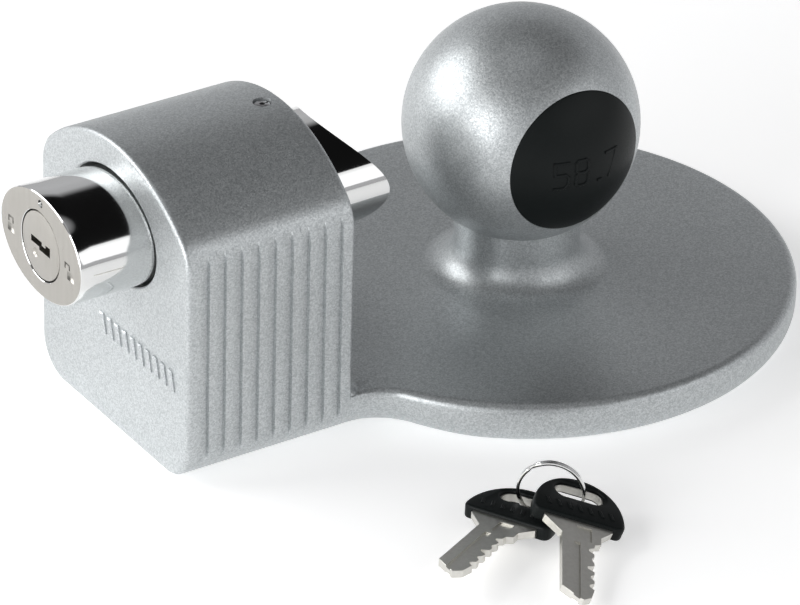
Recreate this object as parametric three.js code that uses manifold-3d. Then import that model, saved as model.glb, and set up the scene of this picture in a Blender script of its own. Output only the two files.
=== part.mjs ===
// Trailer coupler lock: ball plate, sliding key lock and its two keys.
// Millimetres, +Z up. Origin: the ball's axis where it meets the flat underside.
// +X runs from the lock block past the ball, -Y is the side with the ball's size cap.
import * as THREE from 'three';
import { mergeVertices } from 'three/addons/utils/BufferGeometryUtils.js';
import Module from 'manifold-3d';

const wasm = await Module();
wasm.setup();

// ---------- driving dimensions ----------
const GAP = 0.3;                    // clearance between neighbouring pieces
const FIT = 0.08;                   // clearance between pieces that seat on each other

const PLATE_R = 69.85;              // 5-1/2 in plate
const PLATE_T = 11.5;
const PLATE_FILLET_PLAN = 12.0;     // blend of the disc into the block, seen from above

const BLOCK_X0 = -116.0;            // outer (lock) face
const BLOCK_X1 = -69.7;             // inner face, towards the ball
const BLOCK_HALF = 34.0;
const BLOCK_CORNER = 10.0;          // bottom corners
const BLOCK_SIDE_TOP = 59.0;
const BLOCK_ARC_R = 45.0;           // crowned top
const BLOCK_ARC_Z = 32.2;
const EDGE_R = 1.2;
const RIM_R = 2.4;
const RIB_COUNT = 9;
const RIB_PITCH = 4.6;
const RIB_Z0 = 11;                   // lower and upper ends of the grooves
const RIB_Z1 = 57.5;
const RIB_DEPTH = 0.6;

const BALL_R = 29.37;               // 2-5/16 in ball
const BALL_Z = 51.3;
const NECK_R = 15.7;
const FLARE_R = 23.5;
const SHANK_R = 12.0;
const CAP_R = 18.4;

const LOCK_Z = 55.4;                // axis of bolt and plug
const BOLT_A = 18.8;                // half width of the oval bolt
const BOLT_B = 13.5;                // half height
const BORE_GAP = 0.7;
const BOLT_FACE = -135.8;
const BOLT_NOSE = -60.4;            // hollow of the nose at the middle
const NOSE_R = 22.1;
const BOLT_TRAVEL = 20.0;

const PIN_X = -75.0;                // travel stop pin in the block's crown
const PIN_R = 2.0;
const STOP_FLOOR = LOCK_Z + 10.8;

const PLUG_R = 8.7;
const PLUG_BACK = -109.2;
const KEYWAY_HALF_H = 4.4;
const KEYWAY_HALF_T = 1.25;
const GROOVE_X = -112.3;
const GROOVE_HALF = 1.9;
const GROOVE_R = 7.1;
const TAIL_HALF = 3.2;              // square tail that carries the cam
const CAM_X0 = -108.9;
const CAM_X1 = -103.9;
const CAM_R = 17.3;                 // longer than the bolt is high, shorter than it is wide
const CAM_HALF = 4.0;
const CAM_HUB = 7.0;

const WAFER_X = [-131.2, -127.8, -124.4, -121.0, -117.6];
const WAFER_T = 1.2;
const WAFER_HALF_W = 2.8;
const WAFER_TRAVEL = 1.0;

const RING_POS = [-50.1, -89.8, 8.35];
const RING_R = 7.8;
const RING_YAW = -41.0;
const KEY_TIP = 36.0;
const KEY_T = 2.0;
const HEAD_HALF_T = 1.9;
const KEYS = [
  { id: 1, pos: [-57.2, -87.3, 4.0], yaw: 208.6, pitch: 3.9, roll: 0.0 },
  { id: 2, pos: [-46.9, -96.2, 6.95], yaw: 236.0, pitch: -6.0, roll: 18.0 },
];

const SILVER = 0xb4b8bb;
const CHROME = 0xc8cacc;
const NICKEL = 0xa9a69c;
const STEEL = 0x8d8f92;
const BRASS = 0xb59a55;
const BLACK = 0x1c1f20;

// ---------- helpers ----------
const group = new THREE.Group();

function toSolid(geometry) {
  const g = geometry.clone();
  g.deleteAttribute('normal');
  g.deleteAttribute('uv');
  const m = mergeVertices(g, 1e-4);
  const index = new Uint32Array(m.index.array);
  const verts = new Float32Array(m.attributes.position.array);
  return new wasm.Manifold(new wasm.Mesh({ numProp: 3, vertProperties: verts, triVerts: index }));
}

function add(name, shape, colour, metalness, roughness) {
  let geometry = shape;
  if (shape.getMesh) {
    const out = shape.getMesh();
    geometry = new THREE.BufferGeometry();
    geometry.setAttribute('position', new THREE.BufferAttribute(out.vertProperties, 3));
    geometry.setIndex(new THREE.BufferAttribute(out.triVerts, 1));
    geometry.computeVertexNormals();
  }
  const material = new THREE.MeshStandardMaterial({ color: colour, metalness, roughness });
  material.name = name;
  const mesh = new THREE.Mesh(geometry, material);
  mesh.name = name;
  group.add(mesh);
}

// a box from its low corner to its high corner
function box(lo, hi) {
  const size = hi.map((v, i) => v - lo[i]);
  const g = new THREE.BoxGeometry(...size);
  g.translate(lo[0] + size[0] / 2, lo[1] + size[1] / 2, lo[2] + size[2] / 2);
  return toSolid(g);
}

// a round bar between two values along X, Y or Z
function bar(axis, r, from, to, centre, sides = 40) {
  const g = new THREE.CylinderGeometry(r, r, to - from, sides);
  if (axis === 'x') g.rotateZ(Math.PI / 2);
  if (axis === 'z') g.rotateX(Math.PI / 2);
  const mid = (from + to) / 2;
  const at = { x: [mid, ...centre], y: [centre[0], mid, centre[1]], z: [...centre, mid] }[axis];
  g.translate(...at);
  return toSolid(g);
}

// an outline drawn in (y, z) pushed along +X
function alongX(outline, x0, x1, bevel, segments) {
  const g = new THREE.ExtrudeGeometry(outline, {
    depth: x1 - x0 - 2 * bevel,
    bevelEnabled: bevel > 0,
    bevelThickness: bevel,
    bevelSize: bevel,
    bevelOffset: -bevel,
    bevelSegments: segments,
    curveSegments: 16,
  });
  const basis = new THREE.Matrix4().makeBasis(
    new THREE.Vector3(0, 1, 0), new THREE.Vector3(0, 0, 1), new THREE.Vector3(1, 0, 0));
  g.applyMatrix4(basis);
  g.translate(x0 + bevel, 0, 0);
  return toSolid(g);
}

// an outline drawn in (x, y) pushed along +Z
function alongZ(outline, z0, z1, bevel, segments, curve = 16) {
  const g = new THREE.ExtrudeGeometry(outline, {
    depth: z1 - z0 - 2 * bevel,
    bevelEnabled: bevel > 0,
    bevelThickness: bevel,
    bevelSize: bevel,
    bevelOffset: -bevel,
    bevelSegments: segments,
    curveSegments: curve,
  });
  g.translate(0, 0, z0 + bevel);
  return g;
}

function oval(a, b, z) {
  const s = new THREE.Shape();
  const n = 56;
  for (let i = 0; i < n; i += 1) {
    const t = (2 * Math.PI * i) / n;
    const p = [a * Math.cos(t), z + b * Math.sin(t)];
    if (i === 0) s.moveTo(...p);
    else s.lineTo(...p);
  }
  s.closePath();
  return s;
}

function lathe(points, sides) {
  const g = new THREE.LatheGeometry(points.map((p) => new THREE.Vector2(...p)), sides);
  g.rotateX(Math.PI / 2);
  return g;
}

// ---------- base casting: disc, web, crowned lock block ----------
function platePlan() {
  const r = PLATE_R;
  const f = PLATE_FILLET_PLAN;
  const yc = BLOCK_HALF + f;
  const xc = -Math.sqrt((r + f) ** 2 - yc ** 2);
  const onDisc = Math.atan2(yc, xc);
  const s = new THREE.Shape();
  const steps = 64;
  for (let i = 0; i <= steps; i += 1) {
    const t = -onDisc + (2 * onDisc * i) / steps;
    const p = [r * Math.cos(t), r * Math.sin(t)];
    if (i === 0) s.moveTo(...p);
    else s.lineTo(...p);
  }
  const start = onDisc - Math.PI;
  for (let i = 1; i <= 6; i += 1) {
    const t = start + ((-Math.PI / 2 - start) * i) / 6;
    s.lineTo(xc + f * Math.cos(t), yc + f * Math.sin(t));
  }
  s.lineTo(BLOCK_X1 - 2, BLOCK_HALF);
  s.lineTo(BLOCK_X1 - 6, BLOCK_HALF - 10);
  s.lineTo(BLOCK_X1 - 6, 10 - BLOCK_HALF);
  s.lineTo(BLOCK_X1 - 2, -BLOCK_HALF);
  for (let i = 6; i >= 1; i -= 1) {
    const t = start + ((-Math.PI / 2 - start) * i) / 6;
    s.lineTo(xc + f * Math.cos(t), -yc - f * Math.sin(t));
  }
  s.closePath();
  return s;
}

function blockProfile() {
  const s = new THREE.Shape();
  const h = BLOCK_HALF;
  const c = BLOCK_CORNER;
  const yTop = h - 4.5;
  const zTop = BLOCK_ARC_Z + Math.sqrt(BLOCK_ARC_R ** 2 - yTop ** 2);
  s.moveTo(-h + c, 0);
  s.lineTo(h - c, 0);
  s.absarc(h - c, c, c, -Math.PI / 2, 0, false);
  s.lineTo(h, BLOCK_SIDE_TOP);
  s.quadraticCurveTo(h, zTop - 3.2, yTop, zTop);
  const a = Math.atan2(zTop - BLOCK_ARC_Z, yTop);
  s.absarc(0, BLOCK_ARC_Z, BLOCK_ARC_R, a, Math.PI - a, false);
  s.quadraticCurveTo(-h, zTop - 3.2, -h, BLOCK_SIDE_TOP);
  s.lineTo(-h, c);
  s.absarc(-h + c, c, c, Math.PI, 1.5 * Math.PI, false);
  return s;
}

// the quarter turn of the cam's lobe, from -Y down to -Z
function camSweep(x0, x1, gap) {
  const disc = bar('x', CAM_R + gap, x0 - gap, x1 + gap, [0, LOCK_Z], 64);
  const w = CAM_HALF + gap;
  return disc.intersect(box([x0 - 5, -30, LOCK_Z - 30], [x1 + 5, w, LOCK_Z + w]));
}

function baseCasting() {
  let body = toSolid(alongZ(platePlan(), 0, PLATE_T, RIM_R, 3));
  body = body.add(alongX(blockProfile(), BLOCK_X0, BLOCK_X1, EDGE_R, 2));
  const grooves = [];
  const x0 = (BLOCK_X0 + BLOCK_X1) / 2 - ((RIB_COUNT - 1) * RIB_PITCH) / 2;
  for (const side of [-1, 1]) {
    for (let i = 0; i < RIB_COUNT; i += 1) {
      const x = x0 + i * RIB_PITCH;
      const y = side * BLOCK_HALF;
      grooves.push(box(
        [x - RIB_PITCH / 4, Math.min(y - side * RIB_DEPTH, y + side), RIB_Z0],
        [x + RIB_PITCH / 4, Math.max(y - side * RIB_DEPTH, y + side), RIB_Z1],
      ));
    }
  }
  for (const g of grooves) body = body.subtract(g);
  const bore = oval(BOLT_A + BORE_GAP, BOLT_B + BORE_GAP, LOCK_Z);
  body = body.subtract(alongX(bore, BLOCK_X0 - 2, BLOCK_X1 + 2, 0, 1));
  for (const shift of [0, BOLT_TRAVEL]) {
    body = body.subtract(camSweep(CAM_X0 + shift, CAM_X1 + shift, 0.6));
  }
  body = body.subtract(bar('z', PIN_R + GAP, LOCK_Z, 90, [PIN_X, 0], 20));
  return body.subtract(bar('z', SHANK_R + FIT, -1, PLATE_T + 1, [0, 0], 64));
}
add('base_casting', baseCasting(), SILVER, 0.6, 0.5);

// ---------- hitch ball with its neck and riveted shank ----------
function hitchBall() {
  const seat = PLATE_T + FIT;
  const neckAngle = Math.asin(NECK_R / BALL_R) - Math.PI / 2;
  const pts = [[0, 0], [SHANK_R, 0], [SHANK_R, seat], [FLARE_R, seat], [FLARE_R - 0.6, seat + 0.9]];
  const fillet = FLARE_R - 0.6 - NECK_R;
  for (let i = 1; i <= 7; i += 1) {
    const t = (Math.PI / 2) * (i / 7);
    pts.push([NECK_R + fillet * (1 - Math.sin(t)), seat + 0.9 + fillet * (1 - Math.cos(t))]);
  }
  for (let i = 0; i <= 24; i += 1) {
    const t = neckAngle + ((Math.PI / 2 - neckAngle) * i) / 24;
    pts.push([i === 24 ? 0 : BALL_R * Math.cos(t), BALL_Z + BALL_R * Math.sin(t)]);
  }
  const ball = toSolid(lathe(pts, 64));
  const seatDepth = BALL_R - Math.sqrt(BALL_R ** 2 - CAP_R ** 2) + 3.4;
  const pocket = bar('y', CAP_R + FIT, -40, -BALL_R + seatDepth, [0, BALL_Z], 56);
  const stem = bar('y', 4.2, -BALL_R, -12, [0, BALL_Z], 24);
  return ball.subtract(pocket).subtract(stem);
}
add('hitch_ball', hitchBall(), SILVER, 0.6, 0.5);

function sizeCap() {
  const edge = Math.asin(CAP_R / BALL_R);
  const back = BALL_R * Math.cos(edge) - 3.2;
  const pts = [[0, back - 7], [4, back - 7], [4, back], [CAP_R, back]];
  for (let i = 0; i <= 10; i += 1) {
    const t = edge * (1 - i / 10);
    pts.push([i === 10 ? 0 : BALL_R * Math.sin(t), BALL_R * Math.cos(t)]);
  }
  const g = lathe(pts, 56);
  g.rotateX(Math.PI / 2);
  g.translate(0, 0, BALL_Z);
  return toSolid(g);
}
add('ball_size_cap', sizeCap(), BLACK, 0.0, 0.5);

// ---------- travel stop: slotted spring pin in the crown ----------
function stopPin() {
  const top = BLOCK_ARC_Z + BLOCK_ARC_R - 0.5;
  const body = bar('z', PIN_R, STOP_FLOOR + 0.5, top, [PIN_X, 0], 20);
  const hollow = bar('z', PIN_R - 0.8, STOP_FLOOR, top + 1, [PIN_X, 0], 16);
  const slit = box([PIN_X, -0.35, STOP_FLOOR], [PIN_X + 3, 0.35, top + 1]);
  return body.subtract(hollow).subtract(slit);
}
add('travel_stop_pin', stopPin(), STEEL, 1.0, 0.35);

// ---------- oval lock bolt ----------
function lockBolt() {
  let body = alongX(oval(BOLT_A, BOLT_B, LOCK_Z), BOLT_FACE, BOLT_NOSE + 13, 0.7, 2);
  body = body.subtract(bar('z', NOSE_R, 30, 80, [BOLT_NOSE + NOSE_R, 0], 128));
  body = body.subtract(bar('x', PLUG_R + GAP, BOLT_FACE - 2, PLUG_BACK + 0.5, [0, LOCK_Z], 48));
  body = body.subtract(bar('x', CAM_HUB + 0.5, PLUG_BACK, CAM_X1 + 1.3, [0, LOCK_Z], 40));
  body = body.subtract(camSweep(CAM_X0, CAM_X1, 0.5));
  const x0 = WAFER_X[0] - 1.2;
  const x1 = WAFER_X[4] + 1.2;
  const reach = PLUG_R + WAFER_TRAVEL + 0.7;
  const side = WAFER_HALF_W + 0.4;
  body = body.subtract(box([x0, 6, LOCK_Z - side], [x1, reach, LOCK_Z + side]));
  body = body.subtract(box([x0, -side, LOCK_Z + 6], [x1, side, LOCK_Z + reach]));
  const s0 = PIN_X - BOLT_TRAVEL - PIN_R - 0.5;
  const s1 = PIN_X + PIN_R + 0.5;
  body = body.subtract(box([s0, -PIN_R - 0.5, STOP_FLOOR], [s1, PIN_R + 0.5, 80]));
  return body.subtract(bar('z', 1.9, 30, LOCK_Z - GROOVE_R, [GROOVE_X, 0], 20));
}
add('lock_bolt', lockBolt(), CHROME, 1.0, 0.12);

// grub screw whose tip runs in the plug's groove and keeps the plug in
function plugScrew() {
  const tip = LOCK_Z - GROOVE_R - 0.6;
  const foot = LOCK_Z - BOLT_B + 0.7;
  const body = bar('z', 1.6, foot, tip, [GROOVE_X, 0], 20);
  return body.subtract(bar('z', 0.8, foot - 1, foot + 1.5, [GROOVE_X, 0], 6));
}
add('plug_retaining_screw', plugScrew(), STEEL, 1.0, 0.4);

// ---------- key plug with square tail ----------
function keyway(x0, x1) {
  const slot = box([x0, -KEYWAY_HALF_H, LOCK_Z - KEYWAY_HALF_T], [x1, KEYWAY_HALF_H, LOCK_Z + KEYWAY_HALF_T]);
  const ward = box([x0, -2.3, LOCK_Z + 0.6], [x1, -0.6, LOCK_Z + 2]);
  return slot.subtract(ward);
}

function keyPlug() {
  let body = bar('x', PLUG_R, BOLT_FACE, PLUG_BACK, [0, LOCK_Z], 48);
  const ringCut = bar('x', PLUG_R + 2, GROOVE_X - GROOVE_HALF, GROOVE_X + GROOVE_HALF, [0, LOCK_Z], 48)
    .subtract(bar('x', GROOVE_R, GROOVE_X - 3, GROOVE_X + 3, [0, LOCK_Z], 40));
  body = body.subtract(ringCut).subtract(keyway(BOLT_FACE - 1, -115.2));
  for (const x of WAFER_X) {
    const t = WAFER_T / 2 + GAP;
    const w = WAFER_HALF_W + GAP;
    body = body.subtract(box([x - t, -12, LOCK_Z - w], [x + t, 12, LOCK_Z + w]));
    body = body.subtract(box([x - t, -5.2, LOCK_Z + 2], [x + t, 4.1, LOCK_Z + 4.9]));
  }
  const t = TAIL_HALF;
  return body.add(box([PLUG_BACK - 1, -t, LOCK_Z - t], [CAM_X1 + 0.8, t, LOCK_Z + t]));
}
add('key_plug', keyPlug(), NICKEL, 1.0, 0.35);

// ---------- wafers and their springs, at the height a key sets them ----------
function wafer(x) {
  const t = WAFER_T / 2;
  const round = bar('x', PLUG_R - 0.15, x - t, x + t, [0, LOCK_Z], 48);
  const w = WAFER_HALF_W;
  let body = box([x - t, -7.6, LOCK_Z - w], [x + t, 9, LOCK_Z + w]).intersect(round);
  body = body.add(box([x - t, 1.0, LOCK_Z + w - 0.5], [x + t, 2.6, LOCK_Z + 4.5]));
  return body.subtract(box([x - 2, -5.6, LOCK_Z - 1.7], [x + 2, 4.6, LOCK_Z + 1.7]));
}

function waferSpring(x) {
  const pts = [[0.34, -4.8], [0.58, -4.8], [0.58, 0.75], [0.34, 0.75], [0.34, -4.8]];
  const g = new THREE.LatheGeometry(pts.map((p) => new THREE.Vector2(...p)), 12);
  g.translate(x, 0, LOCK_Z + 3.85);
  return toSolid(g);
}

WAFER_X.forEach((x, i) => {
  add(`wafer_${i + 1}`, wafer(x), BRASS, 1.0, 0.35);
  add(`wafer_spring_${i + 1}`, waferSpring(x), STEEL, 1.0, 0.4);
});

// ---------- cam whose lobe turns down into the block ----------
function lockCam() {
  const hub = bar('x', CAM_HUB, CAM_X0, CAM_X1, [0, LOCK_Z], 40);
  const disc = bar('x', CAM_R, CAM_X0, CAM_X1, [0, LOCK_Z], 64);
  const lobe = disc.intersect(box([CAM_X0, -20, LOCK_Z - CAM_HALF], [CAM_X1, 0, LOCK_Z + CAM_HALF]));
  const t = TAIL_HALF + FIT;
  const square = box([CAM_X0 - 1, -t, LOCK_Z - t], [CAM_X1 + 1, t, LOCK_Z + t]);
  return hub.add(lobe).subtract(square);
}
add('lock_cam', lockCam(), STEEL, 1.0, 0.4);

// ---------- keys: local +X to the tip, +Y across the head, +Z up through the thickness ----------
function headOutline(inset) {
  const s = new THREE.Shape();
  const w = 11.3 - inset;
  const front = 7.4;
  const back = -7.6 + inset;
  s.moveTo(front, -w + 2);
  s.lineTo(front, w - 2);
  s.quadraticCurveTo(front, w, front - 2.2, w);
  s.bezierCurveTo(-1.5, w, back, w * 0.62, back, 0);
  s.bezierCurveTo(back, -w * 0.62, -1.5, -w, front - 2.2, -w);
  s.quadraticCurveTo(front, -w, front, -w + 2);
  return s;
}

function slotOutline(a, b, x) {
  const s = new THREE.Shape();
  s.absarc(x, a - b, b, 0, Math.PI, false);
  s.absarc(x, -a + b, b, Math.PI, 2 * Math.PI, false);
  return s;
}

function placed(geometry, key) {
  const rad = Math.PI / 180;
  const m = new THREE.Matrix4().makeRotationZ(key.yaw * rad);
  m.multiply(new THREE.Matrix4().makeRotationY(-key.pitch * rad));
  m.multiply(new THREE.Matrix4().makeRotationX(-key.roll * rad));
  m.setPosition(...key.pos);
  const g = geometry.clone();
  g.applyMatrix4(m);
  return toSolid(g);
}

function keyHead(key) {
  const t = HEAD_HALF_T;
  const slab = placed(alongZ(headOutline(0), -t, t, 0.7, 2, 8), key);
  const pocketT = KEY_T / 2 + GAP;
  const inner = headOutline(1.6);
  const pocket = placed(alongZ(inner, -pocketT, pocketT, 0, 1, 8), key);
  const mouth = new THREE.BoxGeometry(4, 17.4, 2 * pocketT);
  mouth.translate(7, 0, 0);
  const hole = alongZ(slotOutline(6.1, 2.6, -2.6), -4, 4, 0, 1, 8);
  return slab.subtract(pocket).subtract(placed(mouth, key)).subtract(placed(hole, key));
}

// the cut side of the blade is +Y
function bladeOutline() {
  const s = new THREE.Shape();
  s.moveTo(KEY_TIP, 1.2);
  s.lineTo(KEY_TIP - 1.6, 3.2);
  const cuts = [2.7, 3.0, 2.2, 3.3, 2.6];
  cuts.forEach((depth, i) => {
    const x = 30.1 - i * 3.3;
    s.lineTo(x + 1.1, 3.9);
    s.lineTo(x, depth);
    s.lineTo(x - 1.1, 3.9);
  });
  s.lineTo(14.6, 4.1);
  s.lineTo(13.8, 5.6);
  s.lineTo(11.4, 5.6);
  s.lineTo(8.3, 8.4);
  s.lineTo(1.0, 8.4);
  s.bezierCurveTo(-3, 8.4, -5.4, 5.2, -5.4, 0);
  s.bezierCurveTo(-5.4, -5.2, -3, -8.4, 1.0, -8.4);
  s.lineTo(8.3, -8.4);
  s.lineTo(12.6, -4.1);
  s.lineTo(KEY_TIP - 3.4, -4.1);
  s.closePath();
  return s;
}

function keyBlade(key) {
  const t = KEY_T / 2;
  const slab = placed(alongZ(bladeOutline(), -t, t, 0, 1, 8), key);
  const hole = placed(alongZ(slotOutline(5.7, 2.2, -2.6), -4, 4, 0, 1, 8), key);
  const groove = new THREE.BoxGeometry(KEY_TIP, 1.6, 1);
  groove.translate(10 + KEY_TIP / 2, -0.4, t);
  return slab.subtract(hole).subtract(placed(groove, key));
}

for (const key of KEYS) {
  add(`key_${key.id}_head`, keyHead(key), BLACK, 0.0, 0.45);
  add(`key_${key.id}_blade`, keyBlade(key), NICKEL, 1.0, 0.3);
}

function keyRing() {
  const h = 0.45;
  const w = 0.75;
  const pts = [[RING_R - h, -w], [RING_R + h, -w], [RING_R + h, w], [RING_R - h, w], [RING_R - h, -w]];
  const g = new THREE.LatheGeometry(pts.map((p) => new THREE.Vector2(...p)), 64);
  g.rotateZ(RING_YAW * (Math.PI / 180));
  g.translate(...RING_POS);
  return toSolid(g);
}
add('key_ring', keyRing(), CHROME, 1.0, 0.15);

export default group;
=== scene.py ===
"""Trailer coupler lock: finished surfaces, materials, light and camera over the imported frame.

Shapes are worked out in millimetres in the frame's axes and turned into metres as each mesh is made.
"""
import math

import bmesh
import bpy
import numpy as np
from mathutils import Matrix, Vector


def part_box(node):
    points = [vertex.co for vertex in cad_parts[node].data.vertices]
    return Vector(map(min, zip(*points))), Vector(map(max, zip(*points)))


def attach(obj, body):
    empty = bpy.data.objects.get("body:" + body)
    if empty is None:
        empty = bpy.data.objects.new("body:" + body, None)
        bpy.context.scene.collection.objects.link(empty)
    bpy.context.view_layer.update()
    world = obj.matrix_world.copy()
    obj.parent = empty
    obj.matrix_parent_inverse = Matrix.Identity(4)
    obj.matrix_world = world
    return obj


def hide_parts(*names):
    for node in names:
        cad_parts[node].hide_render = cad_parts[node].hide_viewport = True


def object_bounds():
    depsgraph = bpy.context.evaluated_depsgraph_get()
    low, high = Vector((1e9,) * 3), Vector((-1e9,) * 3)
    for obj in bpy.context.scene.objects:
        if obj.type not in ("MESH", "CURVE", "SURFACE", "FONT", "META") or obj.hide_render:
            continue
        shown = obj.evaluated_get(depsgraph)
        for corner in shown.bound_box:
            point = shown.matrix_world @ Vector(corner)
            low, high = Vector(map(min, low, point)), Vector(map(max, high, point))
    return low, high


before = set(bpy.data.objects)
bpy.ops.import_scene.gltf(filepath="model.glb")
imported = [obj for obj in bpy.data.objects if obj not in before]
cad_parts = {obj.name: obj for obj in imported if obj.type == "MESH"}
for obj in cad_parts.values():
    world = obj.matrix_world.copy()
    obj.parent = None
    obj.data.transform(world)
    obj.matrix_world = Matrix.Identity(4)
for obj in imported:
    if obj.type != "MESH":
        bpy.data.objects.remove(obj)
cad_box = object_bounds()

MM = 0.001
TURN = 2 * math.pi
SHARP_ANGLE = 32.0
FINE_SHARP_ANGLE = 28.0


def span(node):
    """Lowest and highest corner of a CAD node, in millimetres."""
    low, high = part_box(node)
    return np.array(low) / MM, np.array(high) / MM


# ---------- driving dimensions, from the frame ----------
BASE_LO, BASE_HI = span("base_casting")
BOLT_LO, BOLT_HI = span("lock_bolt")
PLUG_LO, PLUG_HI = span("key_plug")
BALL_LO, BALL_HI = span("hitch_ball")
CAP_LO, CAP_HI = span("ball_size_cap")
PIN_LO, PIN_HI = span("travel_stop_pin")

PLATE_R = BASE_HI[0]
PLATE_T = 11.5
RIM_TOP_R = 2.5
RIM_BOTTOM_R = 6.0
WEB_TOP_R = 1.4
WEB_FILLET = 12.0

BLOCK_X0 = BASE_LO[0]
BLOCK_X1 = -69.7
BLOCK_HALF = 34.0
BLOCK_CORNER = 10.0
CROWN_R = 45.0
CROWN_Z = BASE_HI[2] - CROWN_R
CROWN_CORNER = 11.0
EDGE_R = 1.2
BORE_CHAMFER = 0.35
RIB_COUNT = 9
RIB_PITCH = 4.6
RIB_DEPTH = 0.9
RIB_SLOPE = 0.1
INNER_FILLET = 4.0

LOCK_Z = (BOLT_LO[2] + BOLT_HI[2]) / 2
BOLT_A = BOLT_HI[1]
BOLT_B = (BOLT_HI[2] - BOLT_LO[2]) / 2
BOLT_FACE = BOLT_LO[0]
NOSE_R = 22.1
BOLT_NOSE = -60.4
BORE_GAP = 0.7
BOLT_TRAVEL = 20.0
BOLT_RIM = 0.55
NOSE_CHAMFER = 0.6

PLUG_R = PLUG_HI[1]
PLUG_GAP = 0.3
PLUG_BACK = -109.2
GROOVE_X = -112.3
GROOVE_HALF = 1.9
GROOVE_R = 7.1
KEYWAY_END = -115.2
TAIL_HALF = 3.2
CAM_X0 = -108.9
CAM_X1 = -103.9
CAM_R = 17.3
CAM_HALF = 4.0
CAM_HUB = 7.0
WAFER_X = [-131.2 + 3.4 * i for i in range(5)]
STOP_FLOOR = LOCK_Z + 10.8

PIN_X = (PIN_LO[0] + PIN_HI[0]) / 2
PIN_R = (PIN_HI[1] - PIN_LO[1]) / 2
PIN_GAP = 0.3
ABOVE_ALL = 90.0

BALL_R = BALL_HI[0]
BALL_Z = BALL_HI[2] - BALL_R
NECK_R = 15.7
FOOT_FILLET = 8.0
SHANK_R = 11.9
SHANK_HOLE_R = 12.08
CAP_R = CAP_HI[0]
CAP_DEPTH = 3.2

RING_POS = np.array([-50.1, -89.8, 8.35])
RING_R = 7.8
RING_YAW = -41.0
KEY_TIP = 36.0
KEY_HALF_T = 1.0
HEAD_HALF_T = 1.9
HOLE_X = -2.6
KEYS = {
    1: {"pos": (-57.2, -87.3, 4.0), "yaw": 208.6, "pitch": 3.9, "roll": 0.0},
    2: {"pos": (-46.9, -96.2, 6.95), "yaw": 236.0, "pitch": -6.0, "roll": 18.0},
}


# ---------- mesh helpers ----------
def polygon_mesh(name, points, faces, sharp_angle):
    """A mesh from points in millimetres, smooth except along edges sharper than the angle."""
    mesh = bpy.data.meshes.new(name)
    mesh.from_pydata((np.asarray(points, float) * MM).tolist(), [], [list(f) for f in faces])
    mesh.validate()
    mesh.update()
    mesh.shade_smooth()
    mesh.set_sharp_from_angle(angle=math.radians(sharp_angle))
    obj = bpy.data.objects.new(name, mesh)
    bpy.context.scene.collection.objects.link(obj)
    return obj


def skin(rings, wrap):
    """Points and faces of a closed surface through equal rings, capped at its ends or wrapped round."""
    rows = len(rings)
    cols = len(rings[0])
    points = np.concatenate(rings)
    faces = []
    for r in range(rows if wrap else rows - 1):
        a = r * cols
        b = ((r + 1) % rows) * cols
        for c in range(cols):
            d = (c + 1) % cols
            faces.append((a + c, a + d, b + d, b + c))
    if not wrap:
        faces.append(tuple(range(cols - 1, -1, -1)))
        faces.append(tuple(range((rows - 1) * cols, rows * cols)))
    return points, faces


def lofted(name, rings, wrap=False, sharp_angle=SHARP_ANGLE):
    points, faces = skin(rings, wrap)
    obj = polygon_mesh(name, points, faces, sharp_angle)
    make_outward(obj)
    return obj


def make_outward(obj):
    """Turns every face of a closed mesh outwards."""
    work = bmesh.new()
    work.from_mesh(obj.data)
    bmesh.ops.recalc_face_normals(work, faces=work.faces)
    work.to_mesh(obj.data)
    work.free()


def joined(name, parts):
    """One mesh object from several, each a closed shell."""
    points = []
    faces = []
    start = 0
    for part in parts:
        mesh = part.data
        points += [tuple(v.co) for v in mesh.vertices]
        faces += [[start + i for i in p.vertices] for p in mesh.polygons]
        start += len(mesh.vertices)
    mesh = bpy.data.meshes.new(name)
    mesh.from_pydata(points, [], faces)
    mesh.update()
    mesh.shade_smooth()
    mesh.set_sharp_from_angle(angle=math.radians(SHARP_ANGLE))
    obj = bpy.data.objects.new(name, mesh)
    bpy.context.scene.collection.objects.link(obj)
    for part in parts:
        bpy.data.objects.remove(part)
    return obj


def cut(obj, tools, sharp_angle=SHARP_ANGLE):
    """Takes closed tool shapes out of a closed mesh, one after another."""
    for tool in tools:
        step = obj.modifiers.new("cut", "BOOLEAN")
        step.operation = "DIFFERENCE"
        step.solver = "EXACT"
        step.object = tool
        bpy.context.view_layer.update()
        graph = bpy.context.evaluated_depsgraph_get()
        result = bpy.data.meshes.new_from_object(obj.evaluated_get(graph))
        obj.modifiers.clear()
        old = obj.data
        obj.data = result
        bpy.data.meshes.remove(old)
        bpy.data.objects.remove(tool)
    obj.data.shade_smooth()
    obj.data.set_sharp_from_angle(angle=math.radians(sharp_angle))
    return obj


def block_tool(low, high):
    """A box between two corners."""
    (x0, y0, z0), (x1, y1, z1) = low, high
    corners = [(y0, z0), (y1, z0), (y1, z1), (y0, z1)]
    rings = [np.array([(x, y, z) for y, z in corners]) for x in (x0, x1)]
    return lofted("tool", rings)


def circle(count):
    """Cosines and sines of equal steps round a circle."""
    t = np.arange(count) * TURN / count
    return np.cos(t), np.sin(t)


def bar_tool(axis, radius, start, end, centre, count=48):
    """A round bar between two values along x, y or z."""
    c, s = circle(count)
    rings = []
    for place in (start, end):
        along = np.full(count, place)
        u = centre[0] + radius * c
        v = centre[1] + radius * s
        order = {"x": (along, u, v), "y": (u, along, v), "z": (u, v, along)}[axis]
        rings.append(np.stack(order, 1))
    return lofted("tool", rings)


def rounded(corner_r, steps=5):
    """Inset and drop of a quarter round, from the side (inset 0) to the end (drop 0)."""
    angles = [math.pi / 2 * i / steps for i in range(steps + 1)]
    return [(corner_r * (1 - math.cos(a)), corner_r * (1 - math.sin(a))) for a in angles]


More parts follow.
